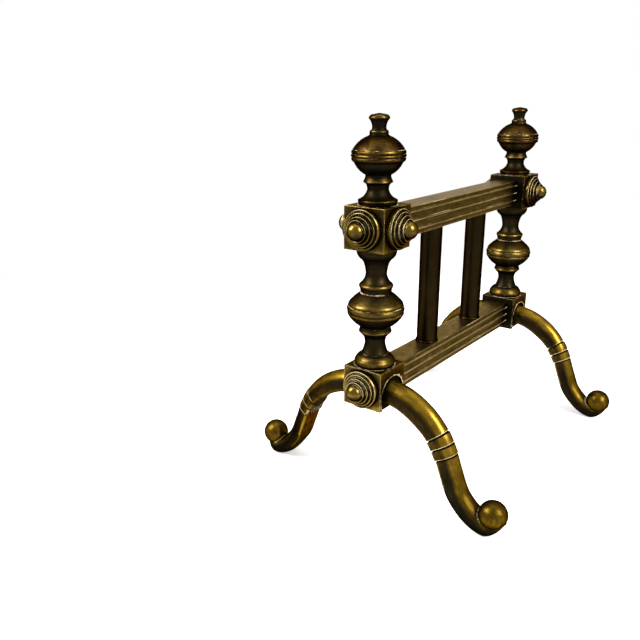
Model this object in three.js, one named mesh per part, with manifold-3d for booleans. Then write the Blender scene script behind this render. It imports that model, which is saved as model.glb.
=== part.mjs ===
// A brass andiron: two turned posts on square blocks, tied by an upper and a lower reeded rail with
// two plain spindles between them, standing on four cabriole legs with ball toes.
// Millimetres. +Z is up, +Y runs along the rails to the rear post, +X is the right-hand side seen
// from the front. The origin is on the floor, midway between the posts.

import * as THREE from "three";
import { mergeVertices } from "three/addons/utils/BufferGeometryUtils.js";
import Module from "manifold-3d";

const wasm = await Module();
wasm.setup();

// ---- Driving dimensions -------------------------------------------------------------------------

const POST_SPACING = 198; // between the axes of the two posts
const LOWER_BLOCK_BASE = 64.2; // floor to the underside of the lower blocks
const LOWER_BLOCK_WIDTH = 27.7;
const LOWER_BLOCK_HEIGHT = 25.7;
const UPPER_BLOCK_WIDTH = 28.4;
const UPPER_BLOCK_HEIGHT = 26;

const RAIL_WIDTH = 16.6; // over the body, without the reeds
const RAIL_HEIGHT = 18.4;
const REED_WIDTH = 1.6;
const REED_CREST = 0.54; // width of a reed's flat crest
const REED_PROUD = 0.6;
const REED_PITCH = 5.7;
const REED_COUNT = 3; // on each side of a rail
const FLUTE_DEPTH = 0.4; // shallow hollows on both sides of each reed
const RAIL_EDGE = 0.5; // flat land between the outer hollow and the rail's corner

const TENON_WIDTH = 10;
const TENON_HEIGHT = 9;
const TENON_PAST_AXIS = 6; // how far a tenon runs past the tie rod that pins it

const SPINDLE_RADIUS = 7.26;
const SPINDLE_COUNT = 2; // they divide the rails evenly
const SPINDLE_RING_RADIUS = 7.8; // seat ring at the lower end
const SPINDLE_RING_HEIGHT = 1.2;
const SPINDLE_TENON_RADIUS = 3.5;
const SPINDLE_TENON_LENGTH = 5;

const ROD_RADIUS = 3;
const ROD_INTO_FINIAL = 18; // how far the tie rod runs up inside the finial
const ROD_PAST_NUT = 0.5;
const NUT_ACROSS_FLATS = 10;
const NUT_HEIGHT = 4.4;
const WASHER_RADIUS = 6.4;
const WASHER_THICKNESS = 1;
const COUNTERBORE_RADIUS = 7.2; // in the underside of a lower block, round the nut
const COUNTERBORE_DEPTH = 6.4;

const ROSETTE_SEAT_LAND = 1.35; // sunk round seat in a block's face: to the side of a lower block
const ROSETTE_RECESS_DEPTH = 1.2;
const ROSETTE_SPIGOT_RADIUS = 2.3;
const ROSETTE_SPIGOT_LENGTH = 4.8;

const LEG_REACH = 89; // post axis to the tip of the foot's middle line
const LEG_ROOT_RISE = 11.3; // underside of the block to the middle of the leg's root
const LEG_WIDTH = 16.6; // across the flat underside
const LEG_TIP_SIZE = 5;
const LEG_CORNER = 0.9; // bevel along both edges of the underside
const LEG_SEAT_LAND = 1.15; // round seat of the leg's root: to the block's side
const LEG_RECESS_RISE = 7.4; // underside of the block, where this seat is open, to its middle
const LEG_RECESS_DEPTH = 1.2;
const LEG_TIP_HEIGHT = 7.8; // floor to the end of the middle line, under the ball
const COLLAR_DISTANCE = 42.4; // along the leg's middle line, from root to first groove
const COLLAR_BAND = 6.9; // from groove to groove
const COLLAR_GROOVES = 3;
const COLLAR_GROOVE_WIDTH = 1.2;
const COLLAR_GROOVE_DEPTH = 0.9;
const COLLAR_SWELL = 0.35; // how far the bands between the grooves stand proud
const BALL_RADIUS = 8.8;
const BALL_OUT = 86.3; // post axis to the ball's centre
const BALL_HEIGHT = 14; // floor to the ball's centre
const STUD_RADIUS = 2;
const STUD_IN_BLOCK = 5.4;
const STUD_IN_LEG = 8;

const CLEARANCE = 0.3; // round and beyond every piece that sits inside another

// Turned outlines. Each row is one moulding: the radius it ends at, its rise, and its bow, which is
// how far the middle of its face stands out (+) or in (-), as a share of the face's length.
const FINIAL_BASE_RADIUS = 11.1;
const FINIAL_MOULDINGS = [
  [11.9, 2.4, 0], // flange
  [10.3, 2.4, 0.17], // its rounded shoulder
  [6.35, 4, -0.14], // cove
  [7.1, 3.1, -0.06], // neck
  [8.88, 1.2, 0], // sharp ring
  [7.6, 2.8, -0.03],
  [7.5, 1.2, 0],
  [14.2, 7, 0.09], // underside of the bulb
  [15.3, 0.9, 0],
  [15.45, 2.1, 0.2], // three beads round the bulb
  [15.45, 1.8, 0.32],
  [15.2, 2.3, 0.22],
  [6.5, 7.6, 0.09], // dome
  [5.5, 0.6, 0],
  [5.5, 1.1, 0], // collar
  [4.4, 1.7, 0.2], // bead
  [4.1, 1.3, -0.05], // waist
  [6.15, 4.9, 0.03], // flared seat of the knob
  [4.5, 2.1, 0.15], // knob
  [0, 0.8, 0.06],
];
const BALUSTER_BASE_LAND = 1.85; // base of a baluster to the side of the block below
const BALUSTER_BASE_RADIUS = LOWER_BLOCK_WIDTH / 2 - BALUSTER_BASE_LAND;
const BALUSTER_MOULDINGS = [
  [BALUSTER_BASE_RADIUS + 0.2, 4.1, 0.19], // base torus
  [8.4, 3.4, 0.1],
  [8.3, 0.6, 0], // fillet
  [6.5, 6.1, -0.04], // lower neck
  [7.4, 4.6, -0.065],
  [10.4, 3.2, 0], // lower ring
  [9.65, 2.3, -0.03],
  [9.45, 1.1, 0],
  [17.1, 7.5, 0.07], // underside of the bulb
  [17.3, 1.9, 0.17], // three beads round the bulb
  [17.1, 3.9, 0.16],
  [16.3, 2.3, 0.1],
  [9.6, 5.9, 0.03], // upper side of the bulb
  [9.5, 0.4, 0],
  [9.8, 1.9, 0], // band
  [10.6, 2.1, 0], // sharp ring
  [10.2, 0.9, 0],
  [6.5, 6.6, -0.11], // upper cove
  [8.1, 7.4, -0.04], // upper neck
  [8.9, 1.3, 0.1], // small ring
  [12.2, 4.8, 0.13], // ovolo under the block
  [12.2, 2, 0],
];
const ROSETTE_RECESS_RADIUS = LOWER_BLOCK_WIDTH / 2 - ROSETTE_SEAT_LAND;
const ROSETTE_SEAT_RADIUS = ROSETTE_RECESS_RADIUS - CLEARANCE;
const ROSETTE_MOULDINGS = [
  [ROSETTE_SEAT_RADIUS, 2.2, 0], // outer wall, standing in its recess
  [ROSETTE_SEAT_RADIUS - 0.3, 1.8, 0], // first ring
  [ROSETTE_SEAT_RADIUS - 1.6, -0.3, 0],
  [ROSETTE_SEAT_RADIUS - 2, 1.5, 0], // second ring
  [ROSETTE_SEAT_RADIUS - 3.4, -0.3, 0],
  [ROSETTE_SEAT_RADIUS - 3.9, 2, 0], // third ring
  [ROSETTE_SEAT_RADIUS - 5.1, -0.3, 0],
  [ROSETTE_SEAT_RADIUS - 5.6, 2.3, 0], // fourth ring
  [4.8, -0.9, 0],
  [5.3, 0.9, 0], // button
  [3.9, 3.4, 0.12],
  [0, 1.4, 0.1],
];

// The leg's middle line, as shares of its reach from the root and of its drop to the tip, with the
// depth of its section at each point.
const LEG_LINE = [
  { out: 0, drop: 0, depth: 13 },
  { out: 0.165, drop: 0.047, depth: 13.2 },
  { out: 0.325, drop: 0.147, depth: 13.2 },
  { out: 0.456, drop: 0.285, depth: 12 },
  { out: 0.549, drop: 0.463, depth: 11.2 },
  { out: 0.609, drop: 0.637, depth: 11 },
  { out: 0.686, drop: 0.84, depth: 11.4 },
  { out: 0.81, drop: 0.992, depth: 12.4 },
  { out: 0.925, drop: 1.055, depth: 15 },
  { out: 1, drop: 1, depth: 8 },
];
const LEG_ROUND_FROM = 0.62; // share of the line where the flat underside starts to round off
const LEG_TIP_FROM = 0.86; // share of the line where the section starts to shrink to the tip
const LEG_ROUND_SPREAD = 0.8; // share of the width that a rounded underside spans

// Directions about a post whose end faces -Y: the block faces that carry rosettes and legs.
const END_ANGLE = -Math.PI / 2;
const SIDE_ANGLES = [0, Math.PI];
const ROSETTE_ANGLES = { upper: [END_ANGLE, ...SIDE_ANGLES], lower: [END_ANGLE] };
const LEG_ANGLES = SIDE_ANGLES;

// Facets
const TURNED_SIDES = 16;
const ROSETTE_SIDES = 14;
const RECESS_SIDES = 16;
const BORE_SIDES = 12;
const ARC_STEP = THREE.MathUtils.degToRad(38);
const ROSETTE_ARC_STEP = THREE.MathUtils.degToRad(50);
const SHANK_STATIONS = 8;
const FOOT_STATIONS = 10;
const LEG_ARCH_POINTS = 7;
const LEG_UNDERSIDE_SHARES = [-1, -0.5, 0.5, 1];
const NUT_SIDES = 6;
const BALL_SIDES = 14;
const BALL_RINGS = 10;

// ---- Sizes that follow from these ---------------------------------------------------------------

const totalRise = (mouldings) => mouldings.reduce((sum, [, rise]) => sum + rise, 0);

const LOWER_BLOCK_TOP = LOWER_BLOCK_BASE + LOWER_BLOCK_HEIGHT;
const UPPER_BLOCK_BASE = LOWER_BLOCK_TOP + totalRise(BALUSTER_MOULDINGS);
const UPPER_BLOCK_TOP = UPPER_BLOCK_BASE + UPPER_BLOCK_HEIGHT;
const LOWER_BLOCK_MIDDLE = LOWER_BLOCK_BASE + LOWER_BLOCK_HEIGHT / 2;
const UPPER_BLOCK_MIDDLE = UPPER_BLOCK_BASE + UPPER_BLOCK_HEIGHT / 2;
const BORE_RADIUS = ROD_RADIUS + CLEARANCE;
const ROD_BASE = LOWER_BLOCK_BASE + COUNTERBORE_DEPTH - WASHER_THICKNESS - NUT_HEIGHT - ROD_PAST_NUT;
const ROD_TOP = UPPER_BLOCK_TOP + ROD_INTO_FINIAL;
const LEG_ROOT_HEIGHT = LOWER_BLOCK_BASE + LEG_ROOT_RISE;
const LEG_ROOT_OUT = LOWER_BLOCK_WIDTH / 2 - LEG_RECESS_DEPTH + CLEARANCE;
const LEG_RECESS_RADIUS = LOWER_BLOCK_WIDTH / 2 - LEG_SEAT_LAND;

// ---- Finishes -----------------------------------------------------------------------------------

const AGED_BRASS = { color: 0x7d6128, roughness: 0.42, metalness: 1 };
const POLISHED_BRASS = { color: 0x8f7030, roughness: 0.32, metalness: 1 };
const BLOCK_BRASS = { color: 0x6d5526, roughness: 0.48, metalness: 1 };
const RAIL_BRASS = { color: 0x83683a, roughness: 0.45, metalness: 1 };
const DARK_BRASS = { color: 0x3a2a1c, roughness: 0.4, metalness: 1 };
const PLAIN_STEEL = { color: 0x55524d, roughness: 0.55, metalness: 1 };

// ---- Solids -------------------------------------------------------------------------------------

// A closed geometry as a solid that can be joined and cut.
function solidOf(geometry) {
  const bare = geometry.clone();
  bare.deleteAttribute("normal");
  bare.deleteAttribute("uv");
  const merged = mergeVertices(bare, 1e-4);
  return new wasm.Manifold(new wasm.Mesh({
    numProp: 3,
    vertProperties: merged.attributes.position.array,
    triVerts: new Uint32Array(merged.index.array),
  }));
}

function geometryOf(solid) {
  const mesh = solid.getMesh();
  const geometry = new THREE.BufferGeometry();
  geometry.setAttribute("position", new THREE.BufferAttribute(mesh.vertProperties, 3));
  geometry.setIndex(new THREE.BufferAttribute(mesh.triVerts, 1));
  geometry.computeVertexNormals();
  return geometry;
}

function cutFrom(geometry, ...tools) {
  let solid = solidOf(geometry);
  for (const tool of tools) solid = solid.subtract(solidOf(tool));
  return geometryOf(solid);
}

// A box from its lowest to its highest corner.
function boxBetween(low, high) {
  const box = new THREE.Box3(new THREE.Vector3(...low), new THREE.Vector3(...high));
  const size = box.getSize(new THREE.Vector3());
  const middle = box.getCenter(new THREE.Vector3());
  return new THREE.BoxGeometry(size.x, size.y, size.z).translate(middle.x, middle.y, middle.z);
}

// A round bar standing on +Z, from one height to another.
function barUp(radius, from, to, sides = BORE_SIDES) {
  return new THREE.CylinderGeometry(radius, radius, to - from, sides)
    .rotateX(Math.PI / 2)
    .translate(0, 0, (from + to) / 2);
}

// The points of an arc from one point of an outline to the next, without its first point.
function arcPoints(from, to, bow, arcStep) {
  const turn = 4 * Math.atan(2 * bow);
  const chord = to.clone().sub(from);
  const length = chord.length();
  const count = Math.max(1, Math.ceil(Math.abs(turn) / arcStep));
  if (count === 1) return [to];
  const along = chord.divideScalar(length);
  const outward = new THREE.Vector2(along.y, -along.x);
  const radius = length / (2 * Math.sin(turn / 2));
  return Array.from({ length: count }, (_, index) => {
    const angle = turn * ((index + 1) / count - 0.5);
    return from.clone()
      .addScaledVector(along, length / 2 + radius * Math.sin(angle))
      .addScaledVector(outward, radius * (Math.cos(angle) - Math.cos(turn / 2)));
  });
}

// A turned solid on +Z, from a foot outline and a list of mouldings.
function turned(foot, mouldings, sides, arcStep = ARC_STEP) {
  const outline = foot.map(([radius, height]) => new THREE.Vector2(radius, height));
  let last = outline.at(-1);
  for (const [radius, rise, bow] of mouldings) {
    const next = new THREE.Vector2(radius, last.y + rise);
    outline.push(...arcPoints(last, next, bow, arcStep));
    last = next;
  }
  if (last.x > 0) outline.push(new THREE.Vector2(0, last.y));
  return new THREE.LatheGeometry(outline, sides).rotateX(Math.PI / 2);
}

// ---- Pieces -------------------------------------------------------------------------------------

// A finial, standing on its flange, with a blind hole for the tie rod.
function finialGeometry() {
  const body = turned([[0, 0], [FINIAL_BASE_RADIUS, 0]], FINIAL_MOULDINGS, TURNED_SIDES);
  return cutFrom(body, barUp(BORE_RADIUS, -CLEARANCE, ROD_INTO_FINIAL + CLEARANCE));
}

// A baluster, standing on its base torus, bored through for the tie rod.
function balusterGeometry() {
  const body = turned([[0, 0], [BALUSTER_BASE_RADIUS, 0]], BALUSTER_MOULDINGS, TURNED_SIDES);
  return cutFrom(body, barUp(BORE_RADIUS, -CLEARANCE, totalRise(BALUSTER_MOULDINGS) + CLEARANCE));
}

// A rosette on +Z from the floor of its recess, with the spigot that holds it below.
function rosetteGeometry() {
  const foot = [
    [0, -ROSETTE_SPIGOT_LENGTH],
    [ROSETTE_SPIGOT_RADIUS, -ROSETTE_SPIGOT_LENGTH],
    [ROSETTE_SPIGOT_RADIUS, 0],
    [ROSETTE_SEAT_RADIUS, 0],
  ];
  return turned(foot, ROSETTE_MOULDINGS, ROSETTE_SIDES, ROSETTE_ARC_STEP);
}

// The seat of a rosette, cut inwards from a block's face: a shallow round recess and a spigot hole.
function rosetteSeat() {
  const holeDepth = ROSETTE_RECESS_DEPTH + ROSETTE_SPIGOT_LENGTH;
  return [
    barUp(ROSETTE_RECESS_RADIUS, -ROSETTE_RECESS_DEPTH, CLEARANCE, RECESS_SIDES),
    barUp(ROSETTE_SPIGOT_RADIUS + CLEARANCE, -holeDepth, 0),
  ];
}

// The seat of a leg, cut inwards from a block's face: a shallow round recess and a stud hole above
// its middle.
function legSeat() {
  const holeDepth = LEG_RECESS_DEPTH + STUD_IN_BLOCK;
  return [
    barUp(LEG_RECESS_RADIUS, -LEG_RECESS_DEPTH, CLEARANCE, RECESS_SIDES),
    barUp(STUD_RADIUS + CLEARANCE, -holeDepth, 0).translate(LEG_RECESS_RISE - LEG_ROOT_RISE, 0, 0),
  ];
}

// Turns a solid that stands on +Z to stand out sideways, at an angle about the post, on a face.
function outFromFace(geometry, angle, faceDistance, height = 0) {
  return geometry
    .rotateY(Math.PI / 2)
    .translate(faceDistance, 0, height)
    .rotateZ(angle);
}

// A rail's tenon in a block, on the side of the block that faces +Y, or the mortise round it.
function tenonBox(clearance, faceDistance) {
  const halfWidth = TENON_WIDTH / 2 + clearance;
  const halfHeight = TENON_HEIGHT / 2 + clearance;
  return boxBetween(
    [-halfWidth, -TENON_PAST_AXIS - clearance, -halfHeight],
    [halfWidth, faceDistance + CLEARANCE, halfHeight],
  );
}

// An upper block round its own middle, with rosette seats on its outer end and both sides.
function upperBlockGeometry() {
  const half = UPPER_BLOCK_WIDTH / 2;
  const halfHeight = UPPER_BLOCK_HEIGHT / 2;
  const seats = ROSETTE_ANGLES.upper.flatMap((angle) =>
    rosetteSeat().map((tool) => outFromFace(tool, angle, half)));
  return cutFrom(
    boxBetween([-half, -half, -halfHeight], [half, half, halfHeight]),
    ...seats,
    tenonBox(CLEARANCE, half),
    barUp(BORE_RADIUS, -halfHeight - CLEARANCE, halfHeight + CLEARANCE),
  );
}

// A lower block round its own middle, with a rosette seat on its outer end, a leg seat on each side
// and a counterbore for the nut below.
function lowerBlockGeometry() {
  const half = LOWER_BLOCK_WIDTH / 2;
  const halfHeight = LOWER_BLOCK_HEIGHT / 2;
  const rosetteSeats = ROSETTE_ANGLES.lower.flatMap((angle) =>
    rosetteSeat().map((tool) => outFromFace(tool, angle, half)));
  const legSeats = LEG_ANGLES.flatMap((angle) =>
    legSeat().map((tool) => outFromFace(tool, angle, half, LEG_RECESS_RISE - halfHeight)));
  return cutFrom(
    boxBetween([-half, -half, -halfHeight], [half, half, halfHeight]),
    ...rosetteSeats,
    ...legSeats,
    tenonBox(CLEARANCE, half),
    barUp(BORE_RADIUS, -halfHeight - CLEARANCE, halfHeight + CLEARANCE),
    barUp(COUNTERBORE_RADIUS, -halfHeight - CLEARANCE, COUNTERBORE_DEPTH - halfHeight, RECESS_SIDES),
  );
}

// A rail's section, X across and Y up, with reeds between shallow hollows on both sides.
function railSection() {
  const half = RAIL_WIDTH / 2;
  const top = RAIL_HEIGHT / 2;
  const edge = top - RAIL_EDGE;
  const crest = half + REED_PROUD;
  const sidePoints = [[half, -top], [half, -edge]]; // from the bottom up
  const addHollowTo = (height) => {
    const middle = (sidePoints.at(-1)[1] + height) / 2;
    sidePoints.push([half - FLUTE_DEPTH, middle], [half, height]);
  };
  for (let reed = 0; reed < REED_COUNT; reed += 1) {
    const middle = (reed - (REED_COUNT - 1) / 2) * REED_PITCH;
    addHollowTo(middle - REED_WIDTH / 2);
    sidePoints.push([crest, middle - REED_CREST / 2], [crest, middle + REED_CREST / 2]);
    sidePoints.push([half, middle + REED_WIDTH / 2]);
  }
  addHollowTo(edge);
  sidePoints.push([half, top]);
  const otherSide = sidePoints.map(([across, up]) => [-across, -up]);
  return new THREE.Shape([...sidePoints, ...otherSide].map((point) => new THREE.Vector2(...point)));
}

// Where the spindles stand along the rails.
function spindlePlaces() {
  const bay = POST_SPACING / (SPINDLE_COUNT + 1);
  return Array.from({ length: SPINDLE_COUNT }, (_, index) => (index + 1) * bay - POST_SPACING / 2);
}

// A rail round its own middle, with a tenon at each end, pinned by the tie rods, and with sockets
// for the spindles in the face on the given side (+1 is its top).
function railGeometry(blockWidth, socketSide) {
  const length = POST_SPACING - blockWidth;
  const body = new THREE.ExtrudeGeometry(railSection(), { depth: length, bevelEnabled: false })
    .translate(0, 0, -length / 2)
    .rotateX(Math.PI / 2);
  let solid = solidOf(body);
  for (const end of [-1, 1]) {
    const tenon = tenonBox(0, blockWidth / 2)
      .translate(0, -POST_SPACING / 2, 0)
      .rotateZ(end < 0 ? 0 : Math.PI);
    const pinHole = barUp(BORE_RADIUS, -TENON_HEIGHT, TENON_HEIGHT)
      .translate(0, (end * POST_SPACING) / 2, 0);
    solid = solid.add(solidOf(tenon)).subtract(solidOf(pinHole));
  }
  const faceHeight = RAIL_HEIGHT / 2;
  const depth = SPINDLE_TENON_LENGTH + CLEARANCE;
  for (const place of spindlePlaces()) {
    const socket = barUp(SPINDLE_TENON_RADIUS + CLEARANCE, faceHeight - depth, faceHeight + CLEARANCE)
      .rotateX(socketSide > 0 ? 0 : Math.PI)
      .translate(0, place, 0);
    solid = solid.subtract(solidOf(socket));
  }
  return geometryOf(solid);
}

// A spindle, standing on its seat ring, with a tenon at each end.
function spindleGeometry() {
  const height = UPPER_BLOCK_MIDDLE - LOWER_BLOCK_MIDDLE - RAIL_HEIGHT;
  const foot = [
    [0, -SPINDLE_TENON_LENGTH],
    [SPINDLE_TENON_RADIUS, -SPINDLE_TENON_LENGTH],
    [SPINDLE_TENON_RADIUS, 0],
    [SPINDLE_RING_RADIUS, 0],
  ];
  const mouldings = [
    [SPINDLE_RING_RADIUS, SPINDLE_RING_HEIGHT, 0.1],
    [SPINDLE_RADIUS, 0, 0],
    [SPINDLE_RADIUS, height - SPINDLE_RING_HEIGHT, 0],
    [SPINDLE_TENON_RADIUS, 0, 0],
    [SPINDLE_TENON_RADIUS, SPINDLE_TENON_LENGTH, 0],
  ];
  return turned(foot, mouldings, TURNED_SIDES);
}

// The leg's D-shaped section: half its width, half its depth, and how round its underside is.
function legSection(halfWidth, halfDepth, roundness) {
  const points = [];
  const spring = (LEG_CORNER - halfDepth) * (1 - roundness);
  for (let index = 0; index < LEG_ARCH_POINTS; index += 1) {
    const angle = (Math.PI * index) / (LEG_ARCH_POINTS - 1);
    points.push([halfWidth * Math.cos(angle), spring + (halfDepth - spring) * Math.sin(angle)]);
  }
  const { lerp } = THREE.MathUtils;
  const underside = lerp(halfWidth - LEG_CORNER, halfWidth * LEG_ROUND_SPREAD, roundness);
  for (const share of LEG_UNDERSIDE_SHARES) {
    const dip = lerp(1, Math.sqrt(1 - (share * LEG_ROUND_SPREAD) ** 2), roundness);
    points.push([underside * share, -halfDepth * dip]);
  }
  return points;
}

// Shares along the leg's middle line at which it gets a section, and how much each one swells.
function legStations(length) {
  const collarEnd = COLLAR_DISTANCE + (COLLAR_GROOVES - 1) * COLLAR_BAND;
  const footStart = LEG_ROUND_FROM * length;
  const stations = [];
  for (let index = 0; index < SHANK_STATIONS; index += 1) {
    const distance = (footStart * index) / SHANK_STATIONS;
    const beforeCollar = distance <= COLLAR_DISTANCE - COLLAR_BAND / 2;
    const afterCollar = distance >= collarEnd + COLLAR_BAND / 2;
    if (beforeCollar || afterCollar) stations.push({ distance, swell: 0 });
  }
  for (let index = 0; index <= FOOT_STATIONS; index += 1) {
    stations.push({ distance: footStart + ((length - footStart) * index) / FOOT_STATIONS, swell: 0 });
  }
  for (let groove = 0; groove < COLLAR_GROOVES; groove += 1) {
    const distance = COLLAR_DISTANCE + groove * COLLAR_BAND;
    const before = groove > 0 ? COLLAR_SWELL : 0;
    const after = groove < COLLAR_GROOVES - 1 ? COLLAR_SWELL : 0;
    stations.push({ distance: distance - COLLAR_GROOVE_WIDTH / 2, swell: before });
    stations.push({ distance, swell: -COLLAR_GROOVE_DEPTH });
    stations.push({ distance: distance + COLLAR_GROOVE_WIDTH / 2, swell: after });
  }
  return stations.sort((one, other) => one.distance - other.distance);
}

// A closed solid through rings of points, all with the same count, with a flat cap at each end.
function loft(rings) {
  const count = rings[0].length;
  const positions = rings.flat().flatMap((point) => point.toArray());
  const faces = [];
  for (let ring = 0; ring < rings.length - 1; ring += 1) {
    for (let index = 0; index < count; index += 1) {
      const here = ring * count + index;
      const beside = ring * count + ((index + 1) % count);
      faces.push(here, beside, beside + count, here, beside + count, here + count);
    }
  }
  const lastRing = (rings.length - 1) * count;
  for (let index = 1; index < count - 1; index += 1) {
    faces.push(0, index + 1, index, lastRing, lastRing + index, lastRing + index + 1);
  }
  const geometry = new THREE.BufferGeometry();
  geometry.setAttribute("position", new THREE.Float32BufferAttribute(positions, 3));
  geometry.setIndex(faces);
  return geometry;
}

// A right-hand leg about its post's axis: a D-section swept down an S-curve, banded half-way, with a
// ball on its toe and a flat sole. Its root stands in the block's recess and is bored for the stud.
function legGeometry() {
  const reach = LEG_REACH - LEG_ROOT_OUT;
  const fall = LEG_ROOT_HEIGHT - LEG_TIP_HEIGHT;
  const line = new THREE.CatmullRomCurve3(LEG_LINE.map(({ out, drop }) =>
    new THREE.Vector3(LEG_ROOT_OUT + out * reach, 0, LEG_ROOT_HEIGHT - drop * fall)));
  const length = line.getLength();
  const depths = new THREE.SplineCurve(LEG_LINE.map(({ depth }, index) => new THREE.Vector2(index, depth)));
  const rings = legStations(length).map(({ distance, swell }) => {
    const share = Math.min(1, distance / length);
    const middle = line.getPointAt(share);
    const tangent = share > 0 ? line.getTangentAt(share) : new THREE.Vector3(1, 0, 0);
    const top = new THREE.Vector3(-tangent.z, 0, tangent.x);
    const depth = depths.getPoint(line.getUtoTmapping(share)).y;
    const shrink = THREE.MathUtils.smoothstep(share, LEG_TIP_FROM, 1);
    const halfDepth = THREE.MathUtils.lerp(depth, LEG_TIP_SIZE, shrink) / 2 + swell;
    const halfWidth = THREE.MathUtils.lerp(LEG_WIDTH, LEG_TIP_SIZE, shrink) / 2 + swell;
    const roundness = THREE.MathUtils.smoothstep(share, LEG_ROUND_FROM, LEG_TIP_FROM);
    return legSection(halfWidth, halfDepth, roundness).map(([across, up]) =>
      middle.clone().addScaledVector(top, up).add(new THREE.Vector3(0, across, 0)));
  });
  const ball = new THREE.SphereGeometry(BALL_RADIUS, BALL_SIDES, BALL_RINGS)
    .rotateX(Math.PI / 2)
    .translate(BALL_OUT, 0, BALL_HEIGHT);
  const belowFloor = boxBetween([0, -LEG_WIDTH, -LEG_WIDTH], [LEG_REACH + BALL_RADIUS, LEG_WIDTH, 0]);
  const studHole = barUp(STUD_RADIUS + CLEARANCE, -CLEARANCE, STUD_IN_LEG + CLEARANCE)
    .rotateY(Math.PI / 2)
    .translate(LEG_ROOT_OUT, 0, LEG_ROOT_HEIGHT);
  const solid = solidOf(loft(rings)).add(solidOf(ball)).subtract(solidOf(belowFloor));
  return geometryOf(solid.subtract(solidOf(studHole)));
}

// A hexagonal nut on +Z with a clear hole.
function nutGeometry() {
  const cornerRadius = NUT_ACROSS_FLATS / 2 / Math.cos(Math.PI / NUT_SIDES);
  return cutFrom(
    barUp(cornerRadius, 0, NUT_HEIGHT, NUT_SIDES),
    barUp(BORE_RADIUS, -CLEARANCE, NUT_HEIGHT + CLEARANCE),
  );
}

function washerGeometry() {
  return cutFrom(
    barUp(WASHER_RADIUS, 0, WASHER_THICKNESS),
    barUp(BORE_RADIUS, -CLEARANCE, WASHER_THICKNESS + CLEARANCE),
  );
}

// ---- Assembly -----------------------------------------------------------------------------------

const andiron = new THREE.Group();

function addPiece(parent, name, geometry, finish, height = 0) {
  const piece = new THREE.Mesh(geometry, new THREE.MeshStandardMaterial(finish));
  piece.name = name;
  piece.position.z = height;
  parent.add(piece);
  return piece;
}

// A piece made on +Z, turned to stand out from a block's face at an angle about the post.
function addOutward(post, name, geometry, finish, angle, distance, height) {
  const side = new THREE.Group();
  side.rotation.z = angle;
  post.add(side);
  const piece = addPiece(side, name, geometry, finish, height);
  piece.position.x = distance;
  piece.rotation.y = Math.PI / 2;
}

// One post about its own axis, with its end facing -Y: the stack of turned pieces and blocks, the
// tie rod that clamps it, the rosettes and the two legs. sideNames are those of its +X and -X sides.
function addPost(end, sideNames) {
  const post = new THREE.Group();
  andiron.add(post);
  addPiece(post, `lower_block_${end}`, lowerBlockGeometry(), BLOCK_BRASS, LOWER_BLOCK_MIDDLE);
  addPiece(post, `baluster_${end}`, balusterGeometry(), AGED_BRASS, LOWER_BLOCK_TOP);
  addPiece(post, `upper_block_${end}`, upperBlockGeometry(), BLOCK_BRASS, UPPER_BLOCK_MIDDLE);
  addPiece(post, `finial_${end}`, finialGeometry(), AGED_BRASS, UPPER_BLOCK_TOP);

  addPiece(post, `tie_rod_${end}`, barUp(ROD_RADIUS, ROD_BASE, ROD_TOP), PLAIN_STEEL);
  const washerBase = LOWER_BLOCK_BASE + COUNTERBORE_DEPTH - WASHER_THICKNESS;
  addPiece(post, `tie_rod_washer_${end}`, washerGeometry(), PLAIN_STEEL, washerBase);
  addPiece(post, `tie_rod_nut_${end}`, nutGeometry(), PLAIN_STEEL, washerBase - NUT_HEIGHT);

  const upperSeat = UPPER_BLOCK_WIDTH / 2 - ROSETTE_RECESS_DEPTH + CLEARANCE;
  const lowerSeat = LOWER_BLOCK_WIDTH / 2 - ROSETTE_RECESS_DEPTH + CLEARANCE;
  const faceNames = ["end", ...sideNames];
  ROSETTE_ANGLES.upper.forEach((angle, index) => {
    const name = `rosette_upper_${end}_${faceNames[index]}`;
    addOutward(post, name, rosetteGeometry(), POLISHED_BRASS, angle, upperSeat, UPPER_BLOCK_MIDDLE);
  });
  ROSETTE_ANGLES.lower.forEach((angle, index) => {
    const name = `rosette_lower_${end}_${faceNames[index]}`;
    addOutward(post, name, rosetteGeometry(), POLISHED_BRASS, angle, lowerSeat, LOWER_BLOCK_MIDDLE);
  });

  LEG_ANGLES.forEach((angle, index) => {
    const leg = addPiece(post, `leg_${end}_${sideNames[index]}`, legGeometry(), POLISHED_BRASS);
    leg.rotation.z = angle;
    const stud = barUp(STUD_RADIUS, -STUD_IN_BLOCK, STUD_IN_LEG);
    const name = `leg_stud_${end}_${sideNames[index]}`;
    addOutward(post, name, stud, PLAIN_STEEL, angle, LEG_ROOT_OUT, LEG_ROOT_HEIGHT);
  });
  return post;
}

addPost("front", ["right", "left"]).position.y = -POST_SPACING / 2;
const rearPost = addPost("rear", ["left", "right"]);
rearPost.position.y = POST_SPACING / 2;
rearPost.rotation.z = Math.PI;

addPiece(andiron, "rail_upper", railGeometry(UPPER_BLOCK_WIDTH, -1), RAIL_BRASS, UPPER_BLOCK_MIDDLE);
addPiece(andiron, "rail_lower", railGeometry(LOWER_BLOCK_WIDTH, 1), RAIL_BRASS, LOWER_BLOCK_MIDDLE);
const railTop = LOWER_BLOCK_MIDDLE + RAIL_HEIGHT / 2;
spindlePlaces().forEach((place, index) => {
  const spindle = addPiece(andiron, `spindle_${index + 1}`, spindleGeometry(), DARK_BRASS, railTop);
  spindle.position.y = place;
});

export default andiron;
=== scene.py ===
"""Dresses the andiron's frame: turned posts, rosettes, blocks, rails, spindles and legs in aged brass.

Everything is in metres, +Z up, with +Y along the rails to the rear post. Outlines are written in
millimetres and scaled once, when a piece is set in its place.
"""

import math

import bmesh
import bpy
from bpy.props import FloatProperty, FloatVectorProperty, IntProperty, PointerProperty
from mathutils import Matrix, Vector


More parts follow.
